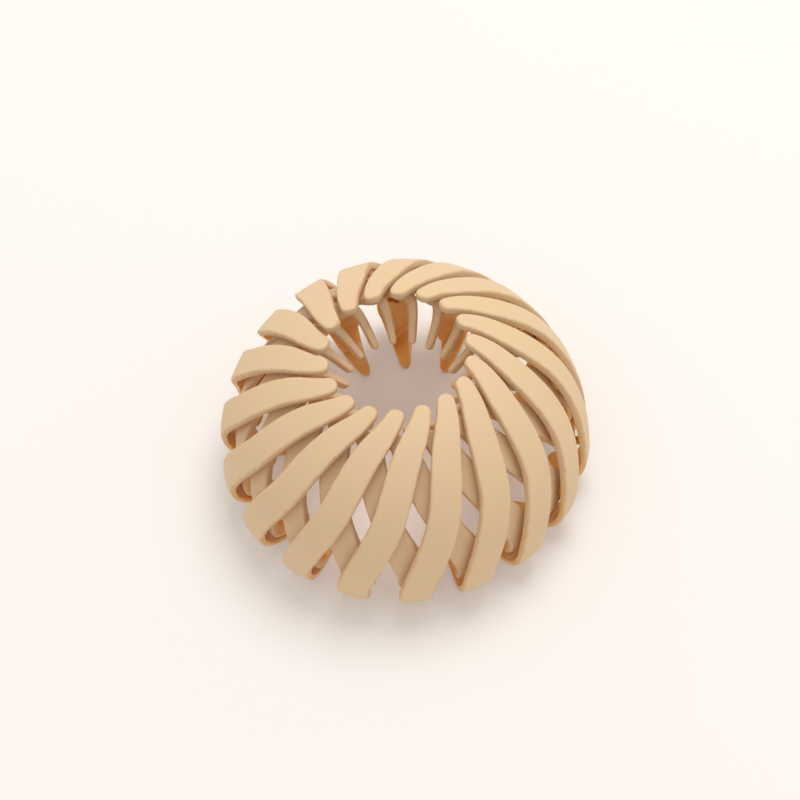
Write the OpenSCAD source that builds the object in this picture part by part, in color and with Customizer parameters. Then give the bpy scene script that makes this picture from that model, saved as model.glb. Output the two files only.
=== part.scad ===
// Bird nest hair clip, closed as it is stored. Two layers of curved ribs lean opposite
// ways round a ring and are pivoted where they cross, so the ring spreads like a scissor.
// The origin is on the ring's axis at the level that it rests on. +Z points up.

/* [Ring] */
// Radius over the outer ribs at the widest level
ring_r = 40; // [38:0.5:44]
// Radius of the arc that the ribs follow above the widest level
dome_r = 34; // [32:0.5:36]
// Radius of the arc that curls the ribs under, below the widest level
curl_r = 10; // [9:0.5:11]
// How far round the dome arc the rivets sit, in degrees above the widest level
rivet_angle = 30; // [28:0.5:32]

/* [Crossings] */
// Distance along a rib from its rivet up to its upper pivot
upper_pivot = 16; // [15:0.1:16.5]
// Distance along a rib from its rivet down to its lower pivot
lower_pivot = 15.5; // [15:0.1:16.5]
// Gap between the layer of outer ribs and the layer of inner ribs
layer_gap = 1.35; // [1.3:0.05:1.5]

/* [Ribs] */
// Thickness of every rib
rib_t = 1.7; // [1.4:0.1:2]
// Bevel along a rib's edges
edge_bevel = 0.45; // [0.2:0.05:0.6]
// Distance along an outer rib from its rivet to its tip round the hole
tip_reach = 26.6; // [25:0.2:28]
// Length of the foot that lies on the surface, inside the curl
foot_len = 5; // [4:0.5:7]

/* [Teeth] */
// Where the inner rib leaves the dome arc, as a distance from its rivet
tooth_start = 19.5; // [19:0.25:20.5]
// Radius of the bend that turns the inner rib down into its tooth
tooth_bend_r = 2.5; // [2.2:0.1:3]
// Direction that the bend ends in, in degrees
tooth_angle = 136; // [130:1:142]
// Straight length of the tooth
tooth_len = 9.5; // [8:0.25:10]

/* [Pivots] */
// Radius of the rivet's shaft
shaft_r = 1.5; // [1.2:0.1:1.8]
// Running clearance round the shaft
running_fit = 0.06; // [0.03:0.01:0.1]
// Radius of the peg at each end pivot
peg_r = 0.9; // [0.7:0.1:1.1]
// Clearance round the peg, which lets the two layers rock against each other
peg_play = 0.5; // [0.4:0.05:0.6]
// Radius of the peg's head
peg_head_r = 1.6; // [1.5:0.1:1.9]

/* [Hidden] */
rib_count = 18;
pitch = 360 / rib_count;
rivet_reach = rivet_angle * PI / 180 * dome_r;
curl_reach = rivet_reach + curl_r * PI / 2;
// Distance below the rivet at which the ribs have stopped leaning and turn under
turn_under = 24;
foot_reach = curl_reach + foot_len;
// Inner ribs have no foot: they end in a point, this far before the curl's end
point_gap = 1.5;
point_reach = curl_reach - point_gap;
inner_depth = rib_t + layer_gap;
tooth_turn = tooth_angle - dome_angle(tooth_start);
tooth_bend_end = tooth_start + tooth_bend_r * tooth_turn * PI / 180;
tooth_reach = tooth_bend_end + tooth_len;
inner_face = inner_depth + rib_t;
// Wall left over the blind end of the rivet's socket
shell_t = 0.6;
// Rivet: the head inside the ring, the shares of it that are straight rim and flat top, and the
// collar that spaces the two layers
head_gap = 0.3;
head_t = 0.9;
head_r = 2.6;
head_rim = 0.45;
head_flat = 0.7;
collar_r = 2;
collar_gap = 0.17;
// Peg: the room behind its head, and the head
peg_head_gap = 0.7;
peg_head_t = 0.7;
// Length over which a rib's ends are rounded, the share of the width left at the very end, and
// the step ahead that gives a section its direction
end_round = 1.1;
end_width = 0.4;
look_ahead = 0.05;
// How far a cut runs past the face that it opens
cut_past = 1;
smooth = 32;
coat = [0.91, 0.80, 0.63];
amber = [0.78, 0.50, 0.20];

// Distance from the rivet, degrees round the ring, width of the rib
outer_stations = [
    [-foot_reach, -14, 2.2],
    [-curl_reach, -13, 3.8],
    [-turn_under, -12, 6.9],
    [-lower_pivot, -pitch / 2, 6.9],
    [0, 0, 6.9],
    [upper_pivot, pitch / 2, 6.1],
    [tip_reach, 26.7, 3.4]
];
inner_stations = [
    [-point_reach, 11, 1.6],
    [-turn_under, 8.8, 7],
    [-lower_pivot, 8.7, 7.6],
    [0, 0, 6.3],
    [upper_pivot, -pitch / 2, 5.9],
    [tooth_start, -14.5, 4.2],
    [tooth_bend_end, -23.5, 2.4],
    [tooth_reach, -27.7, 1.6]
];

function two_digits(k) = str(k < 10 ? "0" : "", k);
function names(stem) = [for (k = [1:rib_count]) str(stem, two_digits(k))];

// Degrees on the dome arc at distance s above the rivet
function dome_angle(s) = rivet_angle + s / dome_r * 180 / PI;

function arc(centre, radius, angle) =
    [centre[0] + radius * cos(angle), centre[1] + radius * sin(angle), angle];

// The shape that every rib follows, seen from the side: distance from the ring's axis, height,
// and the direction in degrees that the outer face looks. It is depth inside the outer faces.
function dome(s, depth) = arc([ring_r - dome_r, curl_r], dome_r - depth, dome_angle(s));
function curl(s, depth) =
    arc([ring_r - curl_r, curl_r], curl_r - depth, (s + rivet_reach) / curl_r * 180 / PI);
function foot(s, depth) = [ring_r - curl_r + s + curl_reach, depth, -90];
function meridian(s, depth) =
    s > -rivet_reach ? dome(s, depth) : s > -curl_reach ? curl(s, depth) : foot(s, depth);

// The inner rib leaves that shape at the top, bends down and ends in a straight tooth
function tooth_centre() =
    let (p = dome(tooth_start, inner_depth))
    [p[0] - tooth_bend_r * cos(p[2]), p[1] - tooth_bend_r * sin(p[2])];
function tooth_bend(s) =
    arc(tooth_centre(), tooth_bend_r, dome_angle(tooth_start) + (s - tooth_start) / tooth_bend_r * 180 / PI);
function tooth(s) =
    let (p = arc(tooth_centre(), tooth_bend_r, tooth_angle), run = s - tooth_bend_end)
    [p[0] - run * sin(tooth_angle), p[1] + run * cos(tooth_angle), tooth_angle];
function inner_side(s) =
    s < tooth_start ? meridian(s, inner_depth) : s < tooth_bend_end ? tooth_bend(s) : tooth(s);

// Smooth curve through one column of a table whose first column is the distance
function slope(table, i, col) =
    let (a = table[max(i - 1, 0)], b = table[min(i + 1, len(table) - 1)])
    (b[col] - a[col]) / (b[0] - a[0]);
function span_of(table, s) = max(0, len([for (row = table) if (row[0] < s) 1]) - 1);
function blend(table, s, col) =
    let (
        i = min(span_of(table, s), len(table) - 2),
        h = table[i + 1][0] - table[i][0],
        u = (s - table[i][0]) / h,
        step = table[i + 1][col] - table[i][col],
        m = slope(table, i, col) * h,
        n = slope(table, i + 1, col) * h
    )
    table[i][col] + m * u + (3 * step - 2 * m - n) * u * u + (m + n - 2 * step) * u * u * u;

// Distances at which a rib has a section: even steps between the table's rows, and two more
// sections that round each end
function steps(from, to, count) = [for (i = [0:count - 1]) from + (to - from) * i / count];
function sections(table, counts) =
    let (first = table[0][0], last = table[len(table) - 1][0], third = end_round / 3)
    concat(
        [first, first + third, first + end_round],
        [for (i = [0:len(table) - 2])
            for (s = steps(table[i][0], table[i + 1][0], counts[i])) if (s > first + end_round) s],
        [last - end_round, last - third, last]
    );
function end_taper(table, s) =
    let (gap = min(s - table[0][0], table[len(table) - 1][0] - s) / end_round)
    gap >= 1 ? 1 : sqrt(1 - pow(1 - gap, 2) * (1 - pow(end_width, 2)));

function unit(v) = v / norm(v);
function lay(side, azimuth) =
    [side[0] * cos(azimuth), side[0] * sin(azimuth), side[1]];

// Outline of a rib's section: across the rib, then inwards from the outer face
function section_outline(w, t) =
    let (b = min(edge_bevel, w / 5), h = w / 2)
    [[-h, -b], [-h + b, 0], [h - b, 0], [h, -b], [h, b - t], [h - b, -t], [b - h, -t], [-h, b - t]];

function rib_section(table, inner, s) =
    let (
        side = inner ? inner_side(s) : meridian(s, 0),
        azimuth = blend(table, s, 1),
        here = lay(side, azimuth),
        next = s + look_ahead,
        ahead = lay(inner ? inner_side(next) : meridian(next, 0), blend(table, next, 1)),
        along = unit(ahead - here),
        face = [cos(side[2]) * cos(azimuth), cos(side[2]) * sin(azimuth), sin(side[2])],
        across = unit(cross(along, face)),
        out = cross(across, along),
        width = blend(table, s, 2) * end_taper(table, s)
    )
    [for (p = section_outline(width, rib_t)) here + across * p[0] + out * p[1]];

module swept_rib(table, inner, counts) {
    stops = sections(table, counts);
    rings = [for (s = stops) rib_section(table, inner, s)];
    n = len(rings[0]);
    last = len(rings) - 1;
    sides = [for (i = [0:last - 1]) for (j = [0:n - 1])
        let (a = i * n + j, b = i * n + (j + 1) % n) each [[a, b + n, b], [a, a + n, b + n]]];
    start_cap = [for (j = [1:n - 2]) [0, j, j + 1]];
    end_cap = [for (j = [1:n - 2]) [last * n, last * n + j + 1, last * n + j]];
    polyhedron([for (ring = rings) each ring], concat(sides, start_cap, end_cap));
}

// Stands its children on a pivot, with their +Z looking out of the ring
module at_pivot(s, azimuth) {
    p = meridian(s, 0);
    rotate([0, 0, azimuth]) translate([p[0], 0, p[1]]) rotate([0, 90 - p[2], 0]) children();
}

module post(from, to, radius) {
    translate([0, 0, min(from, to)]) cylinder(h = abs(to - from), r = radius, $fn = smooth);
}

// Peg and head moulded on the inside of an outer rib
module peg() {
    seat = -inner_face - peg_head_gap;
    post(-rib_t / 2, seat, peg_r);
    post(seat, seat - peg_head_t, peg_head_r);
}

module outer_rib() {
    color(coat) union() {
        difference() {
            swept_rib(outer_stations, false, [1, 2, 2, 4, 4, 2]);
            at_pivot(0, 0) post(-shell_t, -rib_t - cut_past, shaft_r + running_fit);
        }
        at_pivot(upper_pivot, pitch / 2) peg();
        at_pivot(-lower_pivot, -pitch / 2) peg();
    }
}

module inner_rib() {
    through = -inner_face - cut_past;
    color(coat) difference() {
        swept_rib(inner_stations, true, [3, 2, 4, 4, 1, 2, 1]);
        at_pivot(0, 0) post(-rib_t, through, shaft_r + running_fit);
        at_pivot(upper_pivot, -pitch / 2) post(-rib_t, through, peg_r + peg_play);
        at_pivot(-lower_pivot, pitch / 2) post(-rib_t, through, peg_r + peg_play);
    }
}

// Shaft, the collar that spaces the two ribs, and a low domed head inside the ring
module rivet() {
    seat = -inner_face - head_gap;
    color(amber) at_pivot(0, 0) union() {
        post(-shell_t - running_fit, seat, shaft_r);
        post(-rib_t - collar_gap, -inner_depth + running_fit, collar_r);
        translate([0, 0, seat]) mirror([0, 0, 1]) rotate_extrude($fn = smooth) polygon([
            [0, 0], [head_r, 0], [head_r, head_t * head_rim], [head_r * head_flat, head_t], [0, head_t]
        ]);
    }
}

for (k = [1:rib_count]) rotate([0, 0, (k - 1) * pitch]) {
    outer_rib();
    inner_rib();
    rivet();
}
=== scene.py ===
import bpy
import bmesh
import math
from mathutils import Matrix, Vector
from mathutils.kdtree import KDTree


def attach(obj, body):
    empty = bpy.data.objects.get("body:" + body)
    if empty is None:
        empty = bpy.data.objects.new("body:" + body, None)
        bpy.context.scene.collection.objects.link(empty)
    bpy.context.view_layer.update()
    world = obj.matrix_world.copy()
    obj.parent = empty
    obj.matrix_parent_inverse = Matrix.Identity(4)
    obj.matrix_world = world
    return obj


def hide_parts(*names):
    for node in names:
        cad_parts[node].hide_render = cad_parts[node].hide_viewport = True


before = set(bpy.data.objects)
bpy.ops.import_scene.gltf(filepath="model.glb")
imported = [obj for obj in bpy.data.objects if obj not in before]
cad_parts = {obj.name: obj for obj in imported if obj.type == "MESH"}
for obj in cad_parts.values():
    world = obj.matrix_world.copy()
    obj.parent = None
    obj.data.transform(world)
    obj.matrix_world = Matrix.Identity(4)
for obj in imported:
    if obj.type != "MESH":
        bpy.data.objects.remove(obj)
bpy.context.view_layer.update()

# Sizes in millimetres and angles in degrees, the same as the solids' own
MM = 0.001
RIB_COUNT = 18
PITCH = 360 / RIB_COUNT
RING_R = 40.0
DOME_R = 34.0
CURL_R = 10.0
RIVET_ANGLE = 30.0
UPPER_PIVOT = 16.0
LOWER_PIVOT = 15.5
LAYER_GAP = 1.35
RIB_T = 1.7
TIP_REACH = 26.6
FOOT_LEN = 5.0
TOOTH_START = 19.5
TOOTH_BEND_R = 2.5
TOOTH_ANGLE = 136.0
TOOTH_LEN = 9.5
SHAFT_R = 1.5
RUNNING_FIT = 0.06
PEG_R = 0.9
PEG_PLAY = 0.5
PEG_HEAD_R = 1.6
PEG_HEAD_GAP = 0.7
PEG_HEAD_T = 0.7
SHELL_T = 0.6
HEAD_GAP = 0.3
HEAD_T = 0.9
HEAD_R = 2.6
COLLAR_R = 2.0
COLLAR_GAP = 0.17

INNER_DEPTH = RIB_T + LAYER_GAP
INNER_FACE = INNER_DEPTH + RIB_T
RIVET_REACH = math.radians(RIVET_ANGLE) * DOME_R
CURL_REACH = RIVET_REACH + CURL_R * math.pi / 2
FOOT_REACH = CURL_REACH + FOOT_LEN
TURN_UNDER = 24.0
POINT_GAP = 1.5
POINT_REACH = CURL_REACH - POINT_GAP


def dome_angle(s):
    return RIVET_ANGLE + math.degrees(s / DOME_R)


TOOTH_TURN = TOOTH_ANGLE - dome_angle(TOOTH_START)
TOOTH_BEND_END = TOOTH_START + TOOTH_BEND_R * math.radians(TOOTH_TURN)
TOOTH_REACH = TOOTH_BEND_END + TOOTH_LEN

# Distance from the rivet, degrees round the ring, width of the rib
OUTER_STATIONS = [
    (-FOOT_REACH, -14, 2.2),
    (-CURL_REACH, -13, 3.8),
    (-TURN_UNDER, -12, 6.9),
    (-LOWER_PIVOT, -PITCH / 2, 6.9),
    (0, 0, 6.9),
    (UPPER_PIVOT, PITCH / 2, 6.1),
    (TIP_REACH, 26.7, 3.4),
]
INNER_STATIONS = [
    (-POINT_REACH, 11, 1.6),
    (-TURN_UNDER, 8.8, 7),
    (-LOWER_PIVOT, 8.7, 7.6),
    (0, 0, 6.3),
    (UPPER_PIVOT, -PITCH / 2, 5.9),
    (TOOTH_START, -14.5, 4.2),
    (TOOTH_BEND_END, -23.5, 2.4),
    (TOOTH_REACH, -27.7, 1.6),
]


# The line that the ribs follow

def arc(centre, radius, angle):
    a = math.radians(angle)
    return centre[0] + radius * math.cos(a), centre[1] + radius * math.sin(a), angle


def meridian(s, depth):
    """Distance from the ring's axis, height, and the degrees in which the outer face looks."""
    if s > -RIVET_REACH:
        return arc((RING_R - DOME_R, CURL_R), DOME_R - depth, dome_angle(s))
    if s > -CURL_REACH:
        return arc((RING_R - CURL_R, CURL_R), CURL_R - depth, math.degrees((s + RIVET_REACH) / CURL_R))
    return RING_R - CURL_R + s + CURL_REACH, depth, -90


def outer_line(s):
    return meridian(s, 0)


def inner_line(s):
    if s < TOOTH_START:
        return meridian(s, INNER_DEPTH)
    r, z, a = meridian(TOOTH_START, INNER_DEPTH)
    centre = arc((r, z), -TOOTH_BEND_R, a)
    if s < TOOTH_BEND_END:
        return arc(centre, TOOTH_BEND_R, a + math.degrees((s - TOOTH_START) / TOOTH_BEND_R))
    r, z, a = arc(centre, TOOTH_BEND_R, TOOTH_ANGLE)
    run = s - TOOTH_BEND_END
    return r - run * math.sin(math.radians(a)), z + run * math.cos(math.radians(a)), a


def blend(table, s, col):
    """Smooth curve through one column of a rib's stations."""
    i = max(0, min(sum(row[0] < s for row in table) - 1, len(table) - 2))

    def slope(k):
        a, b = table[max(k - 1, 0)], table[min(k + 1, len(table) - 1)]
        return (b[col] - a[col]) / (b[0] - a[0])

    h = table[i + 1][0] - table[i][0]
    u = (s - table[i][0]) / h
    step = table[i + 1][col] - table[i][col]
    m, n = slope(i) * h, slope(i + 1) * h
    return table[i][col] + m * u + (3 * step - 2 * m - n) * u ** 2 + (m + n - 2 * step) * u ** 3


def turned(r, z, azimuth):
    return Vector((r * math.cos(azimuth), r * math.sin(azimuth), z))


def rib_axes(table, line, s):
    """A rib's outer-face point at s, and the directions across it and out of it."""
    look_ahead = 0.05

    def at(q):
        r, z, a = line(q)
        return turned(r, z, math.radians(blend(table, q, 1))), math.radians(a)

    here, a = at(s)
    azimuth = math.radians(blend(table, s, 1))
    face = turned(math.cos(a), math.sin(a), azimuth)
    along = (at(s + look_ahead)[0] - here).normalized()
    across = along.cross(face).normalized()
    return here, across, across.cross(along)


# Rib bodies

OUTER_ROUND = 0.48     # radius of the soft edges of the outer face
INNER_ROUND = 0.35     # radius of the edges of the inner face
CROWN = 0.09           # how much lower the outer face lies at its sides than along its middle
LOW_CROWN = 0.32       # how much more that is where the rib curls under
LOW_FROM = 6           # distance below the rivet at which a rib begins to count as curling under
LOW_OVER = 14          # length over which it comes to do so fully
SIDE_BARE = 0.45       # how much barer of coat a rib's sides are where it curls under
OVERSPRAY = 0.55       # how much coat reaches the sides of the inner face elsewhere
INNER_EDGE = 0.8       # how strongly the inner face's edges take the edge tint: thin coat partly, painted amber bounce light partly
SKIN_PITCH = 0.95      # distance between a skin's sections
BARE_FADE = 3.0        # length over which the bare inner face turns to coat at the tips
SETBACK_FADE = 5       # length over which the setback grows from the foot
MOST_ROUND = 0.8       # largest share of half the width that the rounding takes
END_POWER = 2.4        # 2 gives a half-round end, more gives a squarer one
SETBACK = 0.02         # how far a rib's skin lies inside its solid, apart from the foot


class Section:
    """Half a rib's section as points that say how far in from the outline they lie."""

    def __init__(self, outer_round, inner_round):
        self.points = []
        for share in (0, 0.3, 0.6, 0.85):
            self.points.append(("outer", 0.0, share))
        for angle in (0, 18, 36, 54, 72, 90):
            self.points.append(("outer", math.radians(angle), 1))
        for angle in (90, 60, 30, 0):
            self.points.append(("inner", math.radians(angle), 1))
        for share in (0.66, 0.33, 0):
            self.points.append(("inner", 0.0, share))
        self.rounds = {"outer": outer_round, "inner": inner_round}

    def at(self, half, end_gap, end_len, low):
        """(across, depth, bare, edge) of each point, for half a width and a distance from the end.

        low is 1 where the rib curls under, where the spray coat reaches less far round the sides.
        """
        out = []
        for face, angle, share in self.points:
            rounding = min(self.rounds[face], half * MOST_ROUND)
            inset = rounding * (1 - math.sin(angle))
            if end_gap < inset:
                angle = math.asin(max(0.0, min(1.0, 1 - end_gap / rounding)))
                across = 0.0
            else:
                reach = end_len - inset
                past = max(0.0, end_len - end_gap)
                across = (half - inset) * (1 - (past / reach) ** END_POWER) ** (1 / END_POWER) * share
            rise = rounding * (1 - math.cos(angle))
            if face == "outer":
                depth = rise + (CROWN + LOW_CROWN * low) * (across / half) ** 2
                bare = SIDE_BARE * low * math.sin(angle) ** 4
                edge = math.sin(2 * angle)
            else:
                depth = RIB_T - rise
                bare = 1 - math.sin(angle) * (OVERSPRAY - SIDE_BARE * low)
                edge = math.cos(angle) * (INNER_EDGE if share == 1 else 0)
            out.append((across, depth, bare, edge))
        return out


def rib_stops(first, last, end_len, pitch):
    """Distances at which a rib gets a section, closer together round both ends."""
    round_ends = [1 - math.cos(math.radians(a)) for a in (0, 14, 26, 38, 50, 62, 74)]
    middle = int((last - first - 2 * end_len) / pitch)
    body = [first + end_len + (last - first - 2 * end_len) * i / middle for i in range(middle + 1)]
    start = [first + end_len * q for q in round_ends]
    return start + body + [last - end_len * q for q in reversed(round_ends)]


def rib_body(name, table, line, end_lens, bare_until):
    """A rib as one closed skin.

    end_lens are the lengths over which its two ends are rounded, and bare_until is the distance at
    which the bare inner face has turned to coat.
    """
    first, last = table[0][0], table[-1][0]
    section = Section(OUTER_ROUND, INNER_ROUND)
    stops = rib_stops(first, last, min(end_lens), SKIN_PITCH)
    mesh_points, marks, rings = [], [], []
    for s in stops:
        half = blend(table, s, 2) / 2
        low_end = s - first < last - s
        end_gap = min(s - first, last - s)
        end_len = end_lens[0] if low_end else end_lens[1]
        here, across, out = rib_axes(table, line, s)
        low = min(1.0, max(0.0, (-s - LOW_FROM) / LOW_OVER))
        half_ring = section.at(half, end_gap, end_len, low * low * (3 - 2 * low))
        ring = half_ring + [(-a, d, b, e) for a, d, b, e in reversed(half_ring[1:-1])]
        rings.append([len(mesh_points) + i for i in range(len(ring))])
        keep_bare = min(1.0, max(0.0, (bare_until - s) / BARE_FADE))
        setback = SETBACK * min(1.0, max(0.0, (s + CURL_REACH) / SETBACK_FADE))
        for a, d, b, e in ring:
            mesh_points.append((here + across * a - out * (d + setback)) * MM)
            marks.append((b * keep_bare, e))
    faces = []
    for a, b in zip(rings, rings[1:]):
        n = len(a)
        faces += [(a[i], b[i], b[(i + 1) % n], a[(i + 1) % n]) for i in range(n)]
    faces += [tuple(reversed(rings[0])), tuple(rings[-1])]
    mesh = bpy.data.meshes.new(name)
    mesh.from_pydata([tuple(p) for p in mesh_points], [], faces)
    tidy_mesh(mesh)
    return mesh, mesh_points, marks


SAME_POINT = 0.002     # points closer than this are one
NO_LENGTH = 0.001      # edges shorter than this are dropped


def tidy_mesh(mesh):
    """Joins points that meet, drops faces without area and turns every face outwards."""
    bm = bmesh.new()
    bm.from_mesh(mesh)
    bmesh.ops.remove_doubles(bm, verts=bm.verts, dist=SAME_POINT * MM)
    bmesh.ops.dissolve_degenerate(bm, edges=bm.edges, dist=NO_LENGTH * MM)
    bmesh.ops.recalc_face_normals(bm, faces=bm.faces)
    bm.to_mesh(mesh)
    bm.free()


# Turned pieces: rivets, pegs and the cutters for their holes

def pivot_axes(s, azimuth):
    """Matrix that stands a turned piece on a pivot, with its +Z looking out of the ring."""
    r, z, a = meridian(s, 0)
    place = Matrix.Translation(turned(r, z, math.radians(azimuth)) * MM)
    spin = Matrix.Rotation(math.radians(azimuth), 4, "Z")
    return place @ spin @ Matrix.Rotation(math.radians(90 - a), 4, "Y")


def turned_piece(name, profile, matrix, sides=40):
    """A closed skin from (radius, depth) points, which begin and end on the axis."""
    points, rings = [], []
    for radius, depth in profile:
        if radius == 0:
            rings.append([len(points)])
            points.append(matrix @ (Vector((0, 0, -depth)) * MM))
            continue
        ring = []
        for i in range(sides):
            a = 2 * math.pi * i / sides
            ring.append(len(points))
            points.append(matrix @ (Vector((radius * math.cos(a), radius * math.sin(a), -depth)) * MM))
        rings.append(ring)
    faces = []
    for a, b in zip(rings, rings[1:]):
        for i in range(sides):
            j = (i + 1) % sides
            corner = [a[i % len(a)], a[j % len(a)], b[j % len(b)], b[i % len(b)]]
            faces.append(tuple(dict.fromkeys(corner)))
    mesh = bpy.data.meshes.new(name)
    mesh.from_pydata([tuple(p) for p in points], [], faces)
    tidy_mesh(mesh)
    return mesh


def rivet_profile():
    seat = INNER_FACE + HEAD_GAP
    base = SHELL_T + RUNNING_FIT
    shoulder = RIB_T + COLLAR_GAP
    collar_end = INNER_DEPTH - RUNNING_FIT
    lead_in, bevel, head_bevel, head_rim = 0.2, 0.1, 0.12, 0.28
    profile = [(0, base), (SHAFT_R - lead_in, base), (SHAFT_R, base + lead_in), (SHAFT_R, shoulder)]
    profile += [(COLLAR_R - bevel, shoulder), (COLLAR_R, shoulder + bevel)]
    profile += [(COLLAR_R, collar_end - bevel), (COLLAR_R - bevel, collar_end)]
    profile += [(SHAFT_R, collar_end), (SHAFT_R, seat)]
    profile += [(HEAD_R - head_bevel, seat), (HEAD_R, seat + head_bevel)]
    dome = HEAD_T - head_rim
    for angle in (0, 15, 30, 45, 60, 75):
        a = math.radians(angle)
        profile.append((HEAD_R * math.cos(a) ** 0.8, seat + head_rim + dome * math.sin(a)))
    profile.append((0, seat + HEAD_T))
    return profile


def peg_profile():
    root = RIB_T - 0.15
    seat = INNER_FACE + PEG_HEAD_GAP
    fillet, bevel, head_rim = 0.35, 0.1, 0.3
    profile = [(0, RIB_T / 2), (PEG_R + fillet, RIB_T / 2), (PEG_R + fillet, root)]
    profile += [(PEG_R + 0.15, RIB_T + 0.08), (PEG_R, RIB_T + fillet), (PEG_R, seat)]
    profile += [(PEG_HEAD_R - bevel, seat), (PEG_HEAD_R, seat + bevel), (PEG_HEAD_R, seat + head_rim)]
    for angle in (20, 40, 60, 80):
        a = math.radians(angle)
        profile.append((PEG_HEAD_R * math.cos(a), seat + head_rim + (PEG_HEAD_T - head_rim) * math.sin(a)))
    profile.append((0, seat + PEG_HEAD_T))
    return profile


def hole_profile(radius, start, end, lip):
    """Cutter for a hole from depth start to end, flared by lip where it leaves the part."""
    return [(0, start), (radius + lip, start), (radius + lip, start + 1), (radius, start + 1 + lip),
            (radius, end - 1 - lip), (radius + lip, end - 1), (radius + lip, end), (0, end)]


def worked(mesh, joined, cut):
    """The mesh with other closed skins joined to it and cut out of it."""
    body = bpy.data.objects.new("work", mesh)
    bpy.context.collection.objects.link(body)
    tools = []
    for operation, skins in (("UNION", joined), ("DIFFERENCE", cut)):
        for skin in skins:
            tool = bpy.data.objects.new("tool", skin)
            bpy.context.collection.objects.link(tool)
            tools.append(tool)
            step = body.modifiers.new(operation, "BOOLEAN")
            step.operation = operation
            step.solver = "EXACT"
            step.object = tool
    bpy.context.view_layer.update()
    done = bpy.data.meshes.new_from_object(body.evaluated_get(bpy.context.evaluated_depsgraph_get()))
    for obj in [body] + tools:
        bpy.data.objects.remove(obj)
    bm = bmesh.new()
    bm.from_mesh(done)
    bmesh.ops.dissolve_degenerate(bm, edges=bm.edges, dist=NO_LENGTH * MM)
    bmesh.ops.triangulate(bm, faces=[f for f in bm.faces if len(f.verts) > 4])
    bm.to_mesh(done)
    bm.free()
    return done


NEAR_SKIN = 0.25       # points further than this from the rib's own skin are on a peg or in a hole
CUT_BARE = 0.9         # how bare of coat those are


def marked(mesh, points, marks):
    """Writes each point's marks: bare inner face, and soft edge, where the coat takes a tint that is partly
    thin coat and partly painted amber bounce light.
    """
    tree = KDTree(len(points))
    for i, p in enumerate(points):
        tree.insert(p, i)
    tree.balance()
    columns = {"bare": [], "edge": []}
    for vertex in mesh.vertices:
        _, i, gap = tree.find(vertex.co)
        bare, edge = marks[i]
        if gap > NEAR_SKIN * MM:
            bare, edge = max(bare, CUT_BARE), 0.0
        for key, value in zip(columns, (bare, edge)):
            columns[key].append(value)
    for key, values in columns.items():
        mesh.attributes.new(key, "FLOAT", "POINT").data.foreach_set("value", values)


def smooth_shaded(mesh, sharp_from):
    mesh.polygons.foreach_set("use_smooth", [True] * len(mesh.polygons))
    mesh.set_sharp_from_angle(angle=math.radians(sharp_from))


def outer_rib_mesh():
    foot_and_tip = (1.5, 1.75)
    mesh, points, marks = rib_body("outer_rib", OUTER_STATIONS, outer_line, foot_and_tip, TIP_REACH - 1)
    pegs = [turned_piece("peg", peg_profile(), pivot_axes(s, azimuth), 28)
            for s, azimuth in ((UPPER_PIVOT, PITCH / 2), (-LOWER_PIVOT, -PITCH / 2))]
    socket = hole_profile(SHAFT_R + RUNNING_FIT, SHELL_T, RIB_T + 1, 0.0)
    mesh = worked(mesh, pegs, [turned_piece("socket", socket, pivot_axes(0, 0))])
    marked(mesh, points, marks)
    return mesh


def inner_rib_mesh():
    point_and_tooth = (1.4, 1.15)
    mesh, points, marks = rib_body("inner_rib", INNER_STATIONS, inner_line, point_and_tooth, TOOTH_START + 1)
    top, bottom = INNER_DEPTH - 1, INNER_FACE + 1
    shaft_hole = hole_profile(SHAFT_R + RUNNING_FIT, top, bottom, 0.0)
    cuts = [turned_piece("shaft_hole", shaft_hole, pivot_axes(0, 0))]
    for s, azimuth in ((UPPER_PIVOT, -PITCH / 2), (-LOWER_PIVOT, PITCH / 2)):
        profile = hole_profile(PEG_R + PEG_PLAY, top, bottom, 0.12)
        cuts.append(turned_piece("peg_hole", profile, pivot_axes(s, azimuth), 32))
    mesh = worked(mesh, [], cuts)
    marked(mesh, points, marks)
    return mesh


# Materials

class Wire:
    """A socket that gives a number, so that sums with it add Math nodes."""

    def __init__(self, finish, socket):
        self.finish = finish
        self.socket = socket

    def sum_with(self, operation, a, b):
        return self.finish.add("ShaderNodeMath", {"operation": operation}, {0: a, 1: b})

    def __add__(self, other):
        return self.sum_with("ADD", self, other)

    def __sub__(self, other):
        return self.sum_with("SUBTRACT", self, other)

    def __rsub__(self, other):
        return self.sum_with("SUBTRACT", other, self)

    def __mul__(self, other):
        return self.sum_with("MULTIPLY", self, other)

    __radd__ = __add__
    __rmul__ = __mul__

    def between(self, low, high):
        """0 below low, 1 above high, and smooth between."""
        settings = {"interpolation_type": "SMOOTHSTEP"}
        sockets = {"Value": self, "From Min": low, "From Max": high}
        return self.finish.add("ShaderNodeMapRange", settings, sockets)


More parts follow.
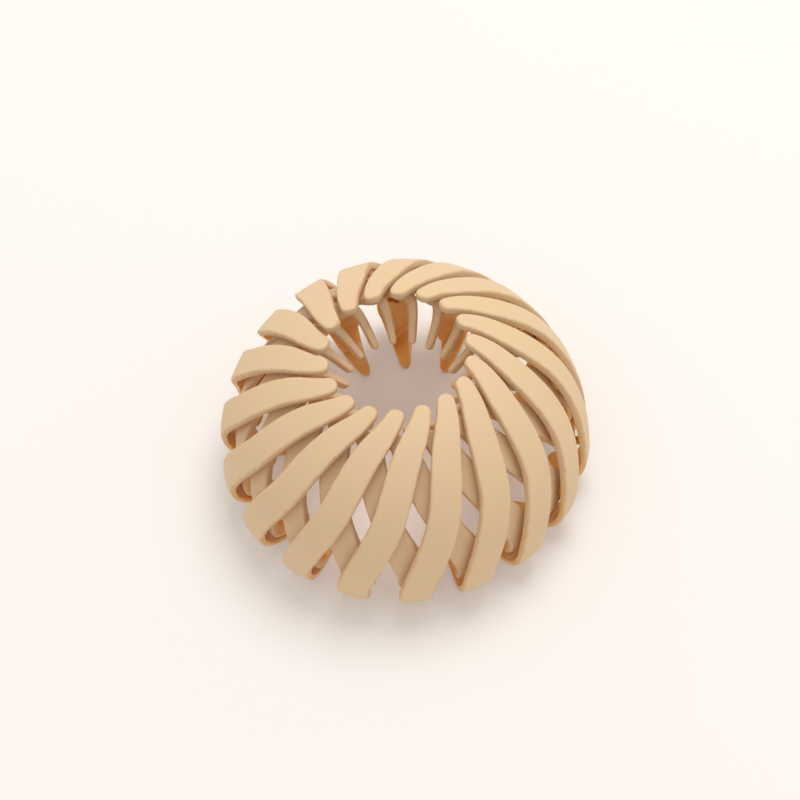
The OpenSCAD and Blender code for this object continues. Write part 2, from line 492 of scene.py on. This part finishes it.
class Finish:
    """One procedural material and the nodes in it."""

    def __init__(self, name):
        self.material = bpy.data.materials.new(name)
        self.material.use_nodes = True
        self.tree = self.material.node_tree
        self.tree.nodes.clear()

    def add(self, kind, settings, sockets, output=0):
        node = self.tree.nodes.new(kind)
        for key, value in settings.items():
            setattr(node, key, value)
        for key, value in sockets.items():
            if isinstance(value, Wire):
                self.tree.links.new(value.socket, node.inputs[key])
            else:
                node.inputs[key].default_value = value
        return Wire(self, node.outputs[output])

    def place(self):
        return self.add("ShaderNodeTexCoord", {}, {}, "Object")

    def mark(self, name):
        return self.add("ShaderNodeAttribute", {"attribute_name": name}, {}, "Fac")

    def cloud(self, where, scale, detail=2.0):
        sockets = {"Vector": where, "Scale": scale, "Detail": detail}
        return self.add("ShaderNodeTexNoise", {}, sockets, "Fac")

    def mix(self, share, a, b):
        sockets = {"Factor": share, 6: a, 7: b}
        return self.add("ShaderNodeMix", {"data_type": "RGBA"}, sockets, 2)

    def bump(self, height, strength, distance):
        sockets = {"Height": height, "Strength": strength, "Distance": distance}
        return self.add("ShaderNodeBump", {}, sockets, "Normal")

    def shader(self, sockets):
        return self.add("ShaderNodeBsdfPrincipled", {}, sockets, "BSDF")

    def blend_shaders(self, share, a, b):
        return self.add("ShaderNodeMixShader", {}, {0: share, 1: a, 2: b})

    def done(self, surface):
        node = self.tree.nodes.new("ShaderNodeOutputMaterial")
        self.tree.links.new(surface.socket, node.inputs["Surface"])
        return self.material


def colour(red, green, blue):
    return (red, green, blue, 1.0)


def soft_coat_shader(finish, where):
    """Matte spray coat, tinted orange-brown along the soft edges: partly thinner coat there, partly painted
    amber bounce light.
    """
    drift = finish.cloud(where, 55.0)
    body = finish.mix(drift.between(0.3, 0.7), colour(0.75, 0.553, 0.318), colour(0.765, 0.543, 0.333))
    # The orange-brown edge tint is partly thin coat and partly painted reflected light: the amber bounce
    # that falls on the rib edges.
    thin_coat_and_bounce = finish.mark("edge") * finish.cloud(where, 420.0).between(0.35, 0.7)
    tint = finish.mix(thin_coat_and_bounce * 0.85, body, colour(0.70, 0.40, 0.19))
    grain = finish.cloud(where, 2600.0, 3.0)
    return finish.shader({
        "Base Color": tint,
        "Roughness": 0.5 + grain * 0.12,
        "Specular IOR Level": 0.35,
        "Normal": finish.bump(grain, 0.12, 0.00006),
    })


def bare_amber_shader(finish, where):
    """Clear moulded plastic with faint flow lines."""
    flow = finish.cloud(where, 160.0, 3.0)
    body = finish.mix(flow.between(0.3, 0.7), colour(0.97, 0.63, 0.24), colour(0.86, 0.44, 0.12))
    grain = finish.cloud(where, 900.0)
    return finish.shader({
        "Base Color": body,
        "Roughness": 0.16 + flow * 0.12,
        "Specular IOR Level": 0.5,
        "Subsurface Weight": 0.4,
        "Subsurface Radius": (1.0, 0.45, 0.12),
        "Subsurface Scale": 0.0012,
        "Normal": finish.bump(grain, 0.08, 0.0001),
    })


def coated_plastic():
    finish = Finish("coated_plastic")
    where = finish.place()
    overspray = finish.cloud(where, 300.0) * 0.5 - 0.25
    bare = (finish.mark("bare") + overspray).between(0.42, 0.72)
    coat = soft_coat_shader(finish, where)
    return finish.done(finish.blend_shaders(bare, coat, bare_amber_shader(finish, where)))


def bare_plastic():
    finish = Finish("bare_plastic")
    return finish.done(bare_amber_shader(finish, finish.place()))


def pale_table():
    """Pale table top that glows a little, so that shadows on it stay soft."""
    finish = Finish("pale_table")
    drift = finish.cloud(finish.place(), 6.0).between(0.3, 0.7)
    return finish.done(finish.shader({
        "Base Color": finish.mix(drift, colour(0.75, 0.715, 0.675), colour(0.75, 0.71, 0.67)),
        "Roughness": 0.85,
        "Specular IOR Level": 0.1,
        "Emission Color": colour(0.175, 0.173, 0.172),
        "Emission Strength": 1.0,
    }))


# Dressing the solids

def dress(kind, mesh, material):
    """One turned copy of the mesh for each solid of this kind."""
    mesh.materials.clear()
    mesh.materials.append(material)
    for k in range(RIB_COUNT):
        node = f"{kind}_{k + 1:02d}"
        piece = bpy.data.objects.new(f"{node}_finished", mesh.copy())
        piece.data.transform(Matrix.Rotation(math.radians(k * PITCH), 4, "Z"))
        bpy.context.collection.objects.link(piece)
        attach(piece, node)
        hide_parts(node)


def rivet_mesh():
    return turned_piece("rivet", rivet_profile(), pivot_axes(0, 0), 40)


coated = coated_plastic()
for kind, mesh, material, slot, sharp_from in (
    ("outer_rib", outer_rib_mesh(), coated, "soft_coat", 50),
    ("inner_rib", inner_rib_mesh(), coated, "soft_coat", 50),
    ("rivet", rivet_mesh(), bare_plastic(), "amber_plastic", 40),
):
    smooth_shaded(mesh, sharp_from)
    dress(kind, mesh, material)

# Table, light and camera

table = bpy.data.objects.new("table", bpy.data.meshes.new("table"))
half_table = 3.0
corners = [(half_table * x, half_table * y, 0) for x, y in ((-1, -1), (1, -1), (1, 1), (-1, 1))]
table.data.from_pydata(corners, [], [(0, 1, 2, 3)])
table.data.materials.append(pale_table())
bpy.context.collection.objects.link(table)


def soft_box(name, place, size, power, tint):
    light = bpy.data.lights.new(name, "AREA")
    light.shape = "DISK"
    light.size = size
    light.energy = power
    light.color = tint
    obj = bpy.data.objects.new(name, light)
    obj.location = place
    obj.rotation_euler = (-Vector(place)).to_track_quat("-Z", "Y").to_euler()
    bpy.context.collection.objects.link(obj)


soft_box("overhead_light", (0.22, 0.36, 1.05), 0.7, 6.2, (1.0, 0.985, 0.97))

world = bpy.data.worlds.new("studio")
world.use_nodes = True
world.node_tree.nodes["Background"].inputs["Color"].default_value = (1.0, 0.985, 0.975, 1.0)
world.node_tree.nodes["Background"].inputs["Strength"].default_value = 0.70
bpy.context.scene.world = world
bpy.context.scene.view_settings.view_transform = "Standard"
bpy.context.scene.view_settings.look = "None"

CAMERA_LIFT = 55.88          # degrees above the table
CAMERA_AZIMUTH = -90.232     # degrees round the ring, where the camera stands
CAMERA_DISTANCE = 900.0      # from the point that the photo's camera looks past
CAMERA_ROLL = -5.516
FOCUS_HEIGHT = 10.0
AIM_RIGHT = -0.307
AIM_UP = 8.279
LENS = 187.03


def photo_camera():
    lift, azimuth = math.radians(CAMERA_LIFT), math.radians(CAMERA_AZIMUTH)
    towards_camera = turned(math.cos(lift), math.sin(lift), azimuth)
    focus = Vector((0, 0, FOCUS_HEIGHT))
    right = (-towards_camera).cross(Vector((0, 0, 1))).normalized()
    up = right.cross(-towards_camera)
    place = focus + towards_camera * CAMERA_DISTANCE
    aim = focus + right * AIM_RIGHT + up * AIM_UP
    data = bpy.data.cameras.new("camera")
    data.lens = LENS
    data.sensor_width = 36
    data.clip_start = 0.01
    obj = bpy.data.objects.new("camera", data)
    turn = (aim - place).to_track_quat("-Z", "Y").to_matrix().to_4x4()
    roll = Matrix.Rotation(math.radians(CAMERA_ROLL), 4, "Z")
    obj.matrix_world = Matrix.Translation(place * MM) @ turn @ roll
    bpy.context.collection.objects.link(obj)
    bpy.context.scene.camera = obj


photo_camera()
